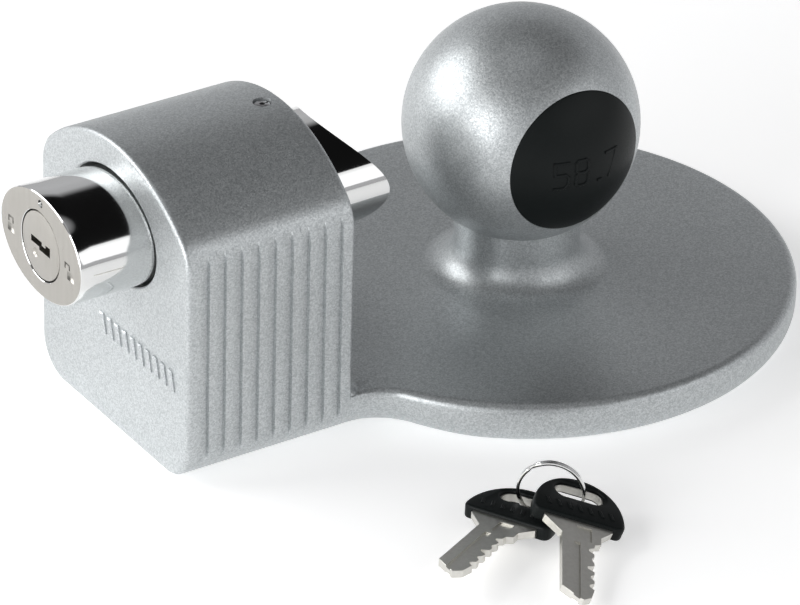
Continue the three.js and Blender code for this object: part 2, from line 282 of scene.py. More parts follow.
def dress(obj, material, body, slot, *nodes):
    """Gives a finished piece its material and its body, and hides the CAD nodes it stands for."""
    obj.data.materials.clear()
    obj.data.materials.append(material)
    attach(obj, body)
    if nodes:
        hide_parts(*nodes)
    return obj


# ---------- materials ----------
def new_material(name, colour, metallic, roughness):
    material = bpy.data.materials.new(name)
    material.use_nodes = True
    shader = material.node_tree.nodes["Principled BSDF"]
    shader.inputs["Base Color"].default_value = (*colour, 1)
    shader.inputs["Metallic"].default_value = metallic
    shader.inputs["Roughness"].default_value = roughness
    return material, material.node_tree, shader


def object_coordinates(tree):
    return tree.nodes.new("ShaderNodeTexCoord").outputs["Object"]


def noise(tree, scale, detail=2.0, stretch=None):
    node = tree.nodes.new("ShaderNodeTexNoise")
    node.inputs["Scale"].default_value = scale
    node.inputs["Detail"].default_value = detail
    where = object_coordinates(tree)
    if stretch:
        mapping = tree.nodes.new("ShaderNodeMapping")
        mapping.inputs["Scale"].default_value = stretch
        tree.links.new(where, mapping.inputs["Vector"])
        where = mapping.outputs["Vector"]
    tree.links.new(where, node.inputs["Vector"])
    return node.outputs["Fac"]


def ramp(tree, source, low, high, dark, light):
    node = tree.nodes.new("ShaderNodeMapRange")
    node.inputs["From Min"].default_value = low
    node.inputs["From Max"].default_value = high
    node.inputs["To Min"].default_value = dark
    node.inputs["To Max"].default_value = light
    tree.links.new(source, node.inputs["Value"])
    return node.outputs["Result"]


def bumpy(tree, shader, height, strength, distance):
    node = tree.nodes.new("ShaderNodeBump")
    node.inputs["Strength"].default_value = strength
    node.inputs["Distance"].default_value = distance
    tree.links.new(height, node.inputs["Height"])
    tree.links.new(node.outputs["Normal"], shader.inputs["Normal"])


def tinted(tree, shader, amount, dark, light):
    """Base colour that wanders between two tones."""
    mix = tree.nodes.new("ShaderNodeMix")
    mix.data_type = "RGBA"
    mix.inputs["A"].default_value = (*dark, 1)
    mix.inputs["B"].default_value = (*light, 1)
    tree.links.new(amount, mix.inputs["Factor"])
    tree.links.new(mix.outputs["Result"], shader.inputs["Base Color"])


def silver_paint():
    """Satin metallic paint: tiny flakes, each a little lighter or darker and tilted its own way."""
    material, tree, shader = new_material("silver_paint", (0.5, 0.51, 0.52), 0.72, 0.44)
    flakes = tree.nodes.new("ShaderNodeTexVoronoi")
    flakes.inputs["Scale"].default_value = 3200
    tree.links.new(object_coordinates(tree), flakes.inputs["Vector"])
    grey = tree.nodes.new("ShaderNodeSeparateColor")
    tree.links.new(flakes.outputs["Color"], grey.inputs["Color"])
    tinted(tree, shader, grey.outputs["Red"], (0.385, 0.408, 0.418), (0.59, 0.615, 0.622))
    rough = ramp(tree, grey.outputs["Green"], 0.0, 1.0, 0.36, 0.5)
    tree.links.new(rough, shader.inputs["Roughness"])
    bumpy(tree, shader, noise(tree, 1500, 3.0), 0.16, 0.0003)
    return material


def chrome():
    material, tree, shader = new_material("chrome", (0.72, 0.725, 0.72), 1.0, 0.07)
    rough = ramp(tree, noise(tree, 60, 3.0), 0.3, 0.7, 0.05, 0.1)
    tree.links.new(rough, shader.inputs["Roughness"])
    return material


def satin_nickel():
    """Fine-turned nickel plate, for the bolt's face and the plug."""
    material, tree, shader = new_material("satin_nickel", (0.42, 0.405, 0.375), 1.0, 0.3)
    grain = noise(tree, 700, 4.0, (1.0, 1.0, 0.15))
    tinted(tree, shader, grain, (0.375, 0.36, 0.33), (0.475, 0.46, 0.43))
    rough = ramp(tree, grain, 0.3, 0.7, 0.27, 0.38)
    tree.links.new(rough, shader.inputs["Roughness"])
    bumpy(tree, shader, grain, 0.05, 0.0001)
    return material


def key_nickel():
    """Brighter, rougher plate of the stamped key blades."""
    material, tree, shader = new_material("key_nickel", (0.68, 0.67, 0.63), 1.0, 0.4)
    grain = noise(tree, 900, 3.0)
    tinted(tree, shader, grain, (0.6, 0.59, 0.55), (0.76, 0.75, 0.71))
    return material


def plain_steel():
    material, tree, shader = new_material("plain_steel", (0.5, 0.5, 0.5), 1.0, 0.32)
    grain = noise(tree, 500, 3.0)
    tinted(tree, shader, grain, (0.42, 0.42, 0.43), (0.58, 0.58, 0.585))
    return material


def brass():
    material, tree, shader = new_material("brass", (0.71, 0.6, 0.33), 1.0, 0.32)
    tinted(tree, shader, noise(tree, 400, 3.0), (0.62, 0.5, 0.26), (0.76, 0.64, 0.36))
    return material


def black_plastic():
    material, tree, shader = new_material("black_plastic", (0.008, 0.01, 0.01), 0.0, 0.42)
    shader.inputs["Specular IOR Level"].default_value = 0.12
    grain = noise(tree, 2600, 2.0)
    rough = ramp(tree, grain, 0.3, 0.7, 0.33, 0.45)
    tree.links.new(rough, shader.inputs["Roughness"])
    tinted(tree, shader, grain, (0.006, 0.008, 0.008), (0.01, 0.012, 0.012))
    bumpy(tree, shader, grain, 0.12, 0.00008)
    return material


def floor_white():
    material, tree, shader = new_material("floor_white", (0.93, 0.93, 0.93), 0.0, 0.8)
    tinted(tree, shader, noise(tree, 3.0, 1.0), (0.92, 0.92, 0.92), (0.94, 0.94, 0.94))
    shader.inputs["Emission Color"].default_value = (1, 1, 1, 1)
    shader.inputs["Emission Strength"].default_value = 0.45
    return material


PAINT = silver_paint()
CHROME = chrome()
NICKEL = satin_nickel()
KEY_NICKEL = key_nickel()
STEEL = plain_steel()
BRASS = brass()
BLACK = black_plastic()


# ---------- base casting ----------
def arc_points(centre, radius, start, end, count):
    t = np.radians(np.linspace(start, end, count))
    return np.stack([centre[0] + radius * np.cos(t), centre[1] + radius * np.sin(t)], 1)


def block_outline(inset):
    """Half outline of the block, seen along X, from bottom middle to top middle, as (y, z)."""
    half = BLOCK_HALF - inset
    corner = BLOCK_CORNER - inset
    crown = CROWN_R - inset
    shoulder = CROWN_CORNER - inset
    shoulder_y = BLOCK_HALF - CROWN_CORNER
    shoulder_z = CROWN_Z + math.sqrt((CROWN_R - CROWN_CORNER) ** 2 - shoulder_y ** 2)
    tilt = math.degrees(math.atan2(shoulder_z - CROWN_Z, shoulder_y))
    return np.concatenate([
        np.linspace((0, inset), (half - corner, inset), 30, endpoint=False),
        arc_points((half - corner, BLOCK_CORNER), corner, -90, 0, 24),
        np.linspace((half, BLOCK_CORNER), (half, shoulder_z), 60)[1:-1],
        arc_points((shoulder_y, shoulder_z), shoulder, 0, tilt, 24),
        arc_points((0, CROWN_Z), crown, tilt, 90, 60),
    ])


BLOCK_ANGLES = np.concatenate([
    np.linspace(0, 0.25, 24, endpoint=False),
    np.linspace(0.25, 0.9, 90, endpoint=False),
    np.linspace(0.9, math.pi, 110, endpoint=False),
])
BLOCK_ANGLES = np.concatenate([BLOCK_ANGLES, TURN - BLOCK_ANGLES[:0:-1]])


def block_ring(x, inset, depth=0.0):
    """The block's outline at one X, with its flat sides cut back by depth."""
    half = block_outline(inset)
    angle = np.arctan2(half[:, 0], LOCK_Z - half[:, 1])
    radius = np.hypot(half[:, 0], LOCK_Z - half[:, 1])
    turn = np.where(BLOCK_ANGLES > math.pi, TURN - BLOCK_ANGLES, BLOCK_ANGLES)
    r = np.interp(turn, angle, radius)
    y = r * np.sin(BLOCK_ANGLES)
    z = LOCK_Z - r * np.cos(BLOCK_ANGLES)
    if depth:
        y = np.clip(y, depth - BLOCK_HALF, BLOCK_HALF - depth)
    return np.stack([np.full_like(y, x), y, z], 1)


def bore_ring(x, grow):
    """The bolt's bore at one X, point for point beside the block's outline."""
    a = BOLT_A + BORE_GAP + grow
    b = BOLT_B + BORE_GAP + grow
    y = np.sin(BLOCK_ANGLES)
    z = -np.cos(BLOCK_ANGLES)
    r = 1 / np.hypot(y / a, z / b)
    return np.stack([np.full_like(y, x), r * y, LOCK_Z + r * z], 1)


def blended(ring_a, ring_b, share):
    return ring_a * (1 - share) + ring_b * share


def lock_block():
    """The crowned block: outer skin, ribbed sides, both end faces and the bolt's bore."""
    rings = []
    for inset, drop in reversed(rounded(EDGE_R)):
        rings.append(block_ring(BLOCK_X0 + drop, inset))
    first = (BLOCK_X0 + BLOCK_X1) / 2 - (RIB_COUNT - 1) * RIB_PITCH / 2
    for i in range(RIB_COUNT):
        x = first + i * RIB_PITCH
        half = RIB_PITCH / 4
        rings.append(block_ring(x - half - RIB_SLOPE, 0))
        rings.append(block_ring(x - half + RIB_SLOPE, 0, RIB_DEPTH))
        rings.append(block_ring(x + half - RIB_SLOPE, 0, RIB_DEPTH))
        rings.append(block_ring(x + half + RIB_SLOPE, 0))
    for inset, drop in rounded(EDGE_R):
        rings.append(block_ring(BLOCK_X1 - drop, inset))
    for x, inward in ((BLOCK_X1, -1), (BLOCK_X0, 1)):
        face = [block_ring(x, EDGE_R), bore_ring(x, BORE_CHAMFER)]
        walls = [bore_ring(x + inward * BORE_CHAMFER, 0)]
        steps = [blended(face[0], face[1], s) for s in (0.25, 0.5, 0.75)]
        if inward < 0:
            rings += steps + [face[1]] + walls
        else:
            rings += walls + [face[1]] + steps[::-1]
    block = lofted("block", rings, wrap=True)
    tools = [cam_tool(BOLT_TRAVEL * i, 0.6) for i in (0, 1)]
    tools.append(bar_tool("z", PIN_R + PIN_GAP, LOCK_Z, ABOVE_ALL, (PIN_X, 0), 40))
    return cut(block, tools)


def cam_tool(shift, gap):
    """The quarter turn that the cam's lobe sweeps, from -Y down to -Z."""
    reach = CAM_R + gap
    width = CAM_HALF + gap
    x0 = CAM_X0 + shift - gap
    x1 = CAM_X1 + shift + gap
    lift = math.asin(width / reach)
    outline = [(width, LOCK_Z + width)]
    angles = np.linspace(math.pi - lift, 1.5 * math.pi + lift, 32)
    outline += [(reach * math.cos(a), LOCK_Z + reach * math.sin(a)) for a in angles]
    rings = [np.array([(x, y, z) for y, z in outline]) for x in (x0, x1)]
    return lofted("tool", rings)


def plate_outline():
    """The plate seen from above: disc, concave blends and the web that enters the block."""
    half = BLOCK_HALF - 0.08
    blend_y = half + WEB_FILLET
    blend_x = -math.sqrt((PLATE_R + WEB_FILLET) ** 2 - blend_y ** 2)
    touch = math.degrees(math.atan2(blend_y, blend_x))
    upper = np.concatenate([
        arc_points((0, 0), PLATE_R, 0, touch, 150),
        arc_points((blend_x, blend_y), WEB_FILLET, touch - 180, -90, 24)[1:],
        [(BLOCK_X1 - 1.0, half), (BLOCK_X1 - 4.0, half - 8.0), (BLOCK_X1 - 4.0, 0)],
    ])
    lower = upper[-2:0:-1] * (1, -1)
    return np.concatenate([upper, lower])


def inward_normals(outline):
    """Unit vectors that point into a closed outline, one for each of its points."""
    ahead = np.roll(outline, -1, 0) - outline
    behind = outline - np.roll(outline, 1, 0)
    ahead /= np.linalg.norm(ahead, axis=1)[:, None]
    behind /= np.linalg.norm(behind, axis=1)[:, None]
    along = ahead + behind
    along /= np.linalg.norm(along, axis=1)[:, None]
    return np.stack([-along[:, 1], along[:, 0]], 1)


def plate():
    """The disc and its web, with a rolled rim and the hole for the ball's shank."""
    outline = plate_outline()
    normals = inward_normals(outline)
    hidden = outline[:, 0] < BLOCK_X1
    normals[hidden] = np.column_stack([np.zeros(hidden.sum()), -np.sign(outline[hidden, 1])])
    towards_block = np.clip((-45.0 - outline[:, 0]) / 25.0, 0, 1)
    ease = towards_block ** 2 * (3 - 2 * towards_block)
    bottom = RIM_BOTTOM_R + (BLOCK_CORNER - RIM_BOTTOM_R) * ease
    top_r = RIM_TOP_R + (WEB_TOP_R - RIM_TOP_R) * ease
    steps = 8

    def ring(inset, z):
        xy = outline + normals * np.reshape(inset, (-1, 1))
        return np.column_stack([xy, np.broadcast_to(z, len(xy))])

    rings = []
    for i in range(steps + 1):
        a = math.pi / 2 * i / steps
        rings.append(ring(bottom * (1 - math.sin(a)), bottom * (1 - math.cos(a))))
    for i in range(steps + 1):
        a = math.pi / 2 * i / steps
        rings.append(ring(top_r * (1 - math.cos(a)), PLATE_T - top_r * (1 - math.sin(a))))
    direction = outline / np.linalg.norm(outline, axis=1)[:, None]
    top = rings[-1]
    hole = np.column_stack([direction * SHANK_HOLE_R, np.full(len(outline), PLATE_T)])
    floor = hole.copy()
    floor[:, 2] = 0
    rings += [blended(top, hole, s) for s in (0.2, 0.4, 0.6, 0.8)] + [hole, floor]
    rings += [blended(floor, rings[0], s) for s in (0.25, 0.5, 0.75)]
    return lofted("plate", rings, wrap=True)


def inner_fillet():
    """The cast radius where the plate's top runs into the block's inner face."""
    r = INNER_FILLET
    corner = np.array([BLOCK_X1 - 0.6, PLATE_T - 0.6])
    arc = arc_points((BLOCK_X1 + r, PLATE_T + r), r, 180, 270, 12)
    outline = np.concatenate([arc, [(BLOCK_X1 + r, corner[1]), corner, (corner[0], PLATE_T + r)]])
    ends = [(0.7, 0.5), (1.5, 0.78), (2.8, 0.95), (5.0, 1.0)]
    stations = [(BLOCK_HALF - e, size) for e, size in ends]
    stations += [(-y, size) for y, size in reversed(stations)]
    rings = []
    for y, size in stations:
        shrunk = corner + (outline - corner) * size
        rings.append(np.column_stack([shrunk[:, 0], np.full(len(outline), y), shrunk[:, 1]]))
    return lofted("inner_fillet", rings)


def face_bars():
    """A row of slanted raised bars on the lock face."""
    bars = []
    count = 10
    pitch = 3.5
    first_y = -27.0
    middle_z = 26.6
    half_width = 0.8
    height = 5.2
    slant = 1.3
    for i in range(count):
        y = first_y + i * pitch
        rings = []
        for lift, shrink in ((-0.2, 0.0), (0.3, 0.0), (0.6, 0.3)):
            w = half_width - shrink
            h = height / 2 - shrink
            corners = [(-w, -h), (w, -h), (w, h), (-w, h)]
            x = BLOCK_X0 - lift
            rings.append(np.array([(x, y + u + slant * v / height, middle_z + v) for u, v in corners]))
        bars.append(lofted("bar", rings))
    return bars


def base_piece():
    parts = [lock_block(), plate(), inner_fillet()] + face_bars()
    base = joined("base_casting_finish", parts)
    dress(base, PAINT, "base", "silver_paint", "base_casting")


# ---------- hitch ball ----------
def ball_piece():
    """The ball, with the pocket for its cap, on a neck and flared foot."""
    count = 160
    c, s = circle(count)

    def around_y(radius, y):
        return np.column_stack([radius * c, np.full(count, y), BALL_Z + radius * s])

    pocket_r = CAP_R + 0.08
    edge = math.asin(pocket_r / BALL_R)
    front = -BALL_R * math.cos(edge)
    rings = []
    for a in np.linspace(edge, math.pi * 0.995, 110):
        rings.append(around_y(BALL_R * math.sin(a), -BALL_R * math.cos(a)))
    floor = front + CAP_DEPTH + 0.8
    pocket = [around_y(0.4, floor), around_y(pocket_r, floor)]
    sphere = lofted("sphere", pocket + rings, sharp_angle=40)

    def around_z(radius, z):
        return np.column_stack([radius * c, radius * s, np.full(count, z)])

    foot = NECK_R + FOOT_FILLET
    rings = [around_z(SHANK_R, 0.2), around_z(SHANK_R, PLATE_T - 1), around_z(foot, PLATE_T - 1)]
    for a in np.linspace(0.04, math.pi / 2, 24):
        rings.append(around_z(foot - FOOT_FILLET * math.sin(a), PLATE_T + FOOT_FILLET * (1 - math.cos(a))))
    rings += [around_z(NECK_R, BALL_Z - BALL_R + 8), around_z(NECK_R - 1, BALL_Z - BALL_R + 9)]
    neck = lofted("neck", rings)
    dress(joined("hitch_ball_finish", [sphere, neck]), PAINT, "base", "silver_paint", "hitch_ball")


# each digit is a set of strokes on a grid 2 wide and 4 high
DIGIT_STROKES = {
    "5": [[(2, 4), (0, 4), (0, 2.2), (1.5, 2.2), (2, 1.7), (2, 0.5), (1.5, 0), (0, 0)]],
    "8": [[(0.4, 2.1), (0, 2.5), (0, 3.6), (0.4, 4), (1.6, 4), (2, 3.6), (2, 2.5), (1.6, 2.1),
           (0.4, 2.1), (0, 1.7), (0, 0.4), (0.4, 0), (1.6, 0), (2, 0.4), (2, 1.7), (1.6, 2.1)]],
    "7": [[(0, 4), (2, 4), (0.7, 0)]],
    ".": [[(0.8, 0), (1.2, 0)]],
}
DIGIT_ADVANCE = {"5": 5.4, "8": 5.4, "7": 5.4, ".": 3.6}
SIZE_TEXT = "58.7"


def on_cap(u, v, radius):
    """The point of the ball's sphere in front of (u, v), a place on the cap's face."""
    return np.array([u, -math.sqrt(max(radius ** 2 - u * u - v * v, 1.0)), BALL_Z + v])


def stroke_bars():
    """Short raised bars that follow the sphere along each digit stroke."""
    bars = []
    scale = 1.7
    low = -3.4
    start = -sum(DIGIT_ADVANCE[ch] for ch in SIZE_TEXT) / 2 + 1.0
    half_w = 0.32
    layers = ((BALL_R - 0.3, 1.0), (BALL_R + 0.2, 1.0), (BALL_R + 0.34, 0.6))
    for ch in SIZE_TEXT:
        for stroke in DIGIT_STROKES[ch]:
            for (x0, y0), (x1, y1) in zip(stroke, stroke[1:]):
                a = np.array([start + x0 * scale, low + y0 * scale])
                b = np.array([start + x1 * scale, low + y1 * scale])
                along = (b - a) / np.linalg.norm(b - a)
                side = np.array([-along[1], along[0]]) * half_w
                a = a - along * half_w
                b = b + along * half_w
                rings = []
                for radius, tight in layers:
                    corners = [a - side * tight, b - side * tight, b + side * tight, a + side * tight]
                    rings.append(np.array([on_cap(p[0], p[1], radius) for p in corners]))
                bars.append(lofted("bar", rings))
        start += DIGIT_ADVANCE[ch]
    return bars


def cap_piece():
    """The plug of plastic in the ball's side, domed to the ball's own sphere."""
    count = 140
    c, s = circle(count)
    edge = math.asin(CAP_R / BALL_R)

    def around_y(radius, y):
        return np.column_stack([radius * c, np.full(count, y), BALL_Z + radius * s])

    front = -BALL_R * math.cos(edge)
    back = front + CAP_DEPTH
    side = CAP_R - 0.02
    dome = BALL_R + 0.03
    rings = [around_y(2.0, back), around_y(17.0, back), around_y(side, back), around_y(side, front - 0.02)]
    for a in np.linspace(edge - 0.012, 0.012, 60):
        rings.append(around_y(dome * math.sin(a), -dome * math.cos(a)))
    cap = lofted("cap", rings)
    dress(joined("size_cap_finish", [cap] + stroke_bars()), BLACK, "base", "black_plastic", "ball_size_cap")


def pin_piece():
    """Slotted spring pin, rolled from strip, with its ends rounded over."""
    top = PIN_HI[2]
    low = PIN_LO[2]
    opening = 0.2
    wall = 1.35
    turns = np.linspace(opening, TURN - opening, 40)
    rings = []
    for z, ease in ((low, 0.25), (low + 0.3, 0.0), (top - 0.35, 0.0), (top - 0.1, 0.12), (top, 0.3)):
        outer = [((PIN_R - ease) * math.cos(t), (PIN_R - ease) * math.sin(t)) for t in turns]
        inner = [((PIN_R - wall) * math.cos(t), (PIN_R - wall) * math.sin(t)) for t in turns[::-1]]
        ring = np.array(outer + inner)
        rings.append(np.column_stack([PIN_X + ring[:, 0], ring[:, 1], np.full(len(ring), z)]))
    dress(lofted("stop_pin_finish", rings), STEEL, "base", "steel", "travel_stop_pin")


# ---------- bolt ----------
BOLT_COUNT = 192


def bolt_ring(x, inset=0.0):
    """The bolt's oval at one X, or at an X for each of its points."""
    c, s = circle(BOLT_COUNT)
    y = (BOLT_A - inset) * c
    z = LOCK_Z + (BOLT_B - inset) * s
    return np.column_stack([np.broadcast_to(x, BOLT_COUNT), y, z])


def nose_x(y):
    """The hollow end of the bolt, which fits round the coupler's lip."""
    return BOLT_NOSE + NOSE_R - np.sqrt(NOSE_R ** 2 - y ** 2)


def bolt_piece():
    """The oval bolt: bored face, hollow nose, stop slot, cam cavity, wafer slots and face marks."""
    c, s = circle(BOLT_COUNT)
    bore = PLUG_R + PLUG_GAP

    def circle_ring(x, radius):
        return np.column_stack([np.full(BOLT_COUNT, x), radius * c, LOCK_Z + radius * s])

    face_edge = bolt_ring(BOLT_FACE, BOLT_RIM)
    bore_edge = circle_ring(BOLT_FACE, bore + 0.12)
    rings = [circle_ring(PLUG_BACK + 0.5, 0.5), circle_ring(PLUG_BACK + 0.5, bore)]
    rings += [circle_ring(BOLT_FACE + 0.12, bore), bore_edge]
    rings += [blended(bore_edge, face_edge, t) for t in (0.33, 0.66)] + [face_edge]
    for inset, drop in reversed(rounded(BOLT_RIM, 3)[:-1]):
        rings.append(bolt_ring(BOLT_FACE + drop, inset))
    for x in np.linspace(BOLT_FACE + 4, BOLT_NOSE - 3, 14):
        rings.append(bolt_ring(x))
    rings.append(bolt_ring(nose_x(bolt_ring(0)[:, 1]) - NOSE_CHAMFER))
    for share in (1.0, 0.85, 0.7, 0.5, 0.3, 0.15, 0.02):
        ring = bolt_ring(0.0, NOSE_CHAMFER)
        ring[:, 1] *= share
        ring[:, 2] = LOCK_Z + (ring[:, 2] - LOCK_Z) * share
        ring[:, 0] = nose_x(ring[:, 1])
        rings.append(ring)
    bolt = lofted("lock_bolt_finish", rings, sharp_angle=FINE_SHARP_ANGLE)
    slot = PIN_R + 0.5
    tools = [
        block_tool((PIN_X - BOLT_TRAVEL - slot, -slot, STOP_FLOOR), (PIN_X + slot, slot, ABOVE_ALL)),
        bar_tool("x", CAM_HUB + 0.5, PLUG_BACK - 0.2, CAM_X1 + 1.3, (0, LOCK_Z)),
        cam_tool(0, 0.5),
        bar_tool("x", 1.0, BOLT_FACE - 1, BOLT_FACE + 0.8, (0, LOCK_Z + 11.3), 24),
    ]
    side = 3.2
    reach = PLUG_R + 1.7
    x0 = WAFER_X[0] - 1.2
    x1 = WAFER_X[-1] + 1.2
    tools.append(block_tool((x0, 6, LOCK_Z - side), (x1, reach, LOCK_Z + side)))
    tools.append(block_tool((x0, -side, LOCK_Z + 6), (x1, side, LOCK_Z + reach)))
    tools.append(bar_tool("z", 1.9, 30, LOCK_Z - GROOVE_R, (GROOVE_X, 0), 24))
    for place, swing in ((13.9, 0.0), (-13.9, 1.5)):
        tools += lock_mark(place, swing)
    cut(bolt, tools, FINE_SHARP_ANGLE)
    dress(bolt, CHROME, "bolt", "chrome", "lock_bolt")
    bolt.data.materials.append(NICKEL)
    for face in bolt.data.polygons:
        flat = abs(face.normal.x) > 0.95 and face.center.x < (BOLT_FACE + 0.6) * MM
        if flat:
            face.material_index = 1


def lock_mark(y, swing):
    """A plain padlock sign cut into the face: a body and a shackle, swung aside for open."""
    x0 = BOLT_FACE - 0.5
    x1 = BOLT_FACE + 0.5
    z = LOCK_Z - 1.6
    body = [(y - 1.5, z - 1.2), (y + 1.5, z - 1.2), (y + 1.5, z + 1.0), (y - 1.5, z + 1.0)]
    s = y + swing
    low = z + 1.4
    shackle = [(s - 1.2, low), (s - 0.75, low), (s - 0.75, low + 1.2), (s + 0.75, low + 1.2),
               (s + 0.75, low), (s + 1.2, low), (s + 1.2, low + 1.7), (s - 1.2, low + 1.7)]
    tools = []
    for outline in (body, shackle):
        rings = [np.array([(x, p[0], p[1]) for p in outline]) for x in (x0, x1)]
        tools.append(lofted("tool", rings))
    return tools


# ---------- key plug ----------
def plug_piece():
    """The turned plug with its groove, keyway, wafer slots, key dimple and square tail."""
    count = 96
    c, s = circle(count)

    def ring(x, radius):
        return np.column_stack([np.full(count, x), radius * c, LOCK_Z + radius * s])

    g0 = GROOVE_X - GROOVE_HALF
    g1 = GROOVE_X + GROOVE_HALF
    stations = [(BOLT_FACE, 0.4), (BOLT_FACE, PLUG_R - 0.45), (BOLT_FACE + 0.12, PLUG_R - 0.15)]
    stations += [(BOLT_FACE + 0.4, PLUG_R), (g0, PLUG_R), (g0, GROOVE_R), (g1, GROOVE_R), (g1, PLUG_R)]
    stations += [(PLUG_BACK - 0.4, PLUG_R), (PLUG_BACK, PLUG_R - 0.4), (PLUG_BACK, 0.4)]
    plug = lofted("key_plug_finish", [ring(x, r) for x, r in stations], sharp_angle=FINE_SHARP_ANGLE)
    half_h = 4.4
    half_t = 1.25
    step = [(-half_h, -half_t), (0.6, -half_t), (0.6, -0.45), (half_h, -0.45), (half_h, half_t),
            (-0.6, half_t), (-0.6, 0.35), (-2.3, 0.35), (-2.3, half_t), (-half_h, half_t)]
    rings = [np.array([(x, y, LOCK_Z + z) for y, z in step]) for x in (BOLT_FACE - 1, KEYWAY_END)]
    tools = [lofted("tool", rings)]
    for x in WAFER_X:
        tools.append(block_tool((x - 0.9, -12, LOCK_Z - 3.1), (x + 0.9, 12, LOCK_Z + 3.1)))
        tools.append(block_tool((x - 0.9, -5.2, LOCK_Z + 2.0), (x + 0.9, 4.1, LOCK_Z + 4.9)))
    dimple = []
    dimple_y = 2.3
    dimple_z = LOCK_Z - 2.8
    for depth, radius in ((-0.3, 1.5), (0.0, 1.25), (0.35, 0.9), (0.55, 0.3)):
        x = np.full(count, BOLT_FACE + depth)
        dimple.append(np.column_stack([x, radius * c + dimple_y, dimple_z + radius * s]))
    tools.append(lofted("tool", dimple))
    cut(plug, tools, FINE_SHARP_ANGLE)
    tail_rings = []
    b = 0.4
    for x, ease in ((PLUG_BACK - 0.5, 0), (CAM_X1 + 0.5, 0), (CAM_X1 + 0.8, 0.3)):
        k = TAIL_HALF - ease
        corners = [(-k + b, -k), (k - b, -k), (k, -k + b), (k, k - b),
                   (k - b, k), (-k + b, k), (-k, k - b), (-k, -k + b)]
        tail_rings.append(np.array([(x, y, LOCK_Z + z) for y, z in corners]))
    plug = joined("key_plug_finish", [plug, lofted("tail", tail_rings)])
    dress(plug, NICKEL, "plug", "nickel", "key_plug")


# ---------- keys ----------
def curve_solid(name, outlines, half_t, bevel):
    """A flat plate with rounded edges from closed outlines in its own XY plane."""
    curve = bpy.data.curves.new(name, "CURVE")
    curve.dimensions = "2D"
    curve.fill_mode = "BOTH"
    curve.extrude = (half_t - bevel) * MM
    curve.bevel_depth = bevel * MM
    curve.bevel_resolution = 3
    curve.offset = -bevel * MM
    for outline in outlines:
        spline = curve.splines.new("POLY")
        spline.points.add(len(outline) - 1)
        for point, (x, y) in zip(spline.points, outline):
            point.co = (x * MM, y * MM, 0, 1)
        spline.use_cyclic_u = True
    holder = bpy.data.objects.new(name, curve)
    bpy.context.scene.collection.objects.link(holder)
    graph = bpy.context.evaluated_depsgraph_get()
    mesh = bpy.data.meshes.new_from_object(holder.evaluated_get(graph))
    bpy.data.objects.remove(holder)
    obj = bpy.data.objects.new(name, mesh)
    bpy.context.scene.collection.objects.link(obj)
    weld(obj)
    return obj


def weld(obj):
    """Merges the doubled points of a filled curve and smooths it."""
    work = bmesh.new()
    work.from_mesh(obj.data)
    bmesh.ops.remove_doubles(work, verts=work.verts, dist=1e-6)
    bmesh.ops.recalc_face_normals(work, faces=work.faces)
    work.to_mesh(obj.data)
    work.free()
    obj.data.shade_smooth()
    obj.data.set_sharp_from_angle(angle=math.radians(SHARP_ANGLE))


def slot_outline(a, b, x):
    """An elongated hole across the key's head."""
    upper = arc_points((x, a - b), b, 0, 180, 16)
    lower = arc_points((x, b - a), b, 180, 360, 16)
    return np.concatenate([upper, lower])


def bezier(points, count):
    """Points along a curve with three or four control points."""
    t = np.linspace(0, 1, count)[:, None]
    if len(points) == 3:
        a, b, c = (np.array(p, float) for p in points)
        return (1 - t) ** 2 * a + 2 * t * (1 - t) * b + t ** 2 * c
    a, b, c, d = (np.array(p, float) for p in points)
    return (1 - t) ** 3 * a + 3 * t * (1 - t) ** 2 * b + 3 * t ** 2 * (1 - t) * c + t ** 3 * d


def head_outline():
    w = 11.3
    front = 7.4
    back = -7.6
    shoulder = front - 2.2
    return np.concatenate([
        bezier([(front, w - 2), (front, w), (shoulder, w)], 8),
        bezier([(shoulder, w), (-1.5, w), (back, w * 0.62), (back, 0)], 28)[1:],
        bezier([(back, 0), (back, -w * 0.62), (-1.5, -w), (shoulder, -w)], 28)[1:],
        bezier([(shoulder, -w), (front, -w), (front, -w + 2)], 8)[1:],
    ])


def blade_outline():
    """The blade's shape, with its cut side towards +Y."""
    cut_side = [(KEY_TIP, 1.2), (KEY_TIP - 1.6, 3.2)]
    for i, depth in enumerate([2.7, 3.0, 2.2, 3.3, 2.6]):
        x = 30.1 - i * 3.3
        cut_side += [(x + 1.1, 3.9), (x + 0.3, depth), (x - 0.3, depth), (x - 1.1, 3.9)]
    cut_side += [(14.6, 4.1), (13.8, 5.6), (11.4, 5.6), (8.3, 8.4)]
    far = bezier([(1.0, 8.4), (-3, 8.4), (-5.4, 5.2), (-5.4, 0)], 14)
    near = bezier([(-5.4, 0), (-5.4, -5.2), (-3, -8.4), (1.0, -8.4)], 14)[1:]
    plain_side = [(8.3, -8.4), (12.6, -4.1), (KEY_TIP - 3.4, -4.1)]
    return np.concatenate([cut_side, far, near, plain_side])


def key_matrix(key):
    """Where a key lies: turned about Z, then pitched and rolled on its own axes."""
    turn = Matrix.Rotation(math.radians(key["yaw"]), 4, "Z")
    turn = turn @ Matrix.Rotation(-math.radians(key["pitch"]), 4, "Y")
    turn = turn @ Matrix.Rotation(-math.radians(key["roll"]), 4, "X")
    return Matrix.Translation(Vector(key["pos"]) * MM) @ turn


